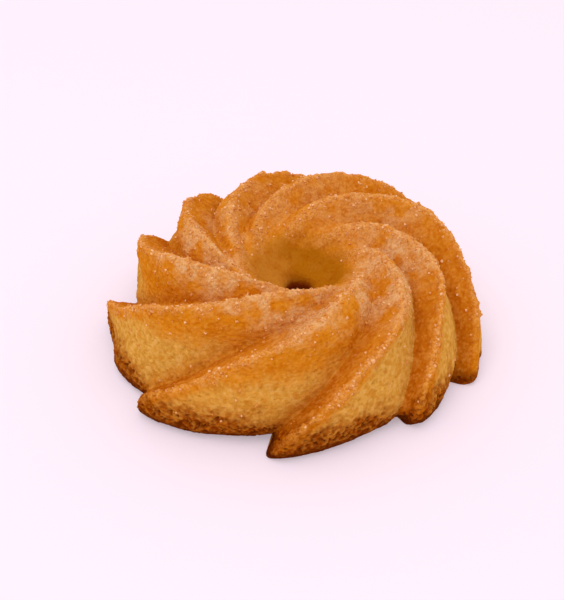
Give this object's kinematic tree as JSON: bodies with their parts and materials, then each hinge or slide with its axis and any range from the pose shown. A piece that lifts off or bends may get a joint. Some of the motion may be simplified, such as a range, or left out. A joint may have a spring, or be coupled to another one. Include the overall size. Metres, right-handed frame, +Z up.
{
  "type": "lemon pound cake",
  "caption": "Small sugar-dusted lemon pound cake, a fluted ring with swirled blade-like ridges round a funnel-shaped centre hole.",
  "frame": {"origin": "centre of the outer size, on the plane the base stands on", "axes": "+Z up through the centre hole, from the flat base to the ridges; +X and +Y level, with the side that faces the viewer in the picture at -Y"},
  "size_m": [0.0984, 0.0958, 0.0315],
  "materials": {
    "crust": "golden brown baked crust with fine open crumb and sugar grains"
  },
  "bodies": {
    "root": {"cake": "crust"}
  },
  "joints": []
}
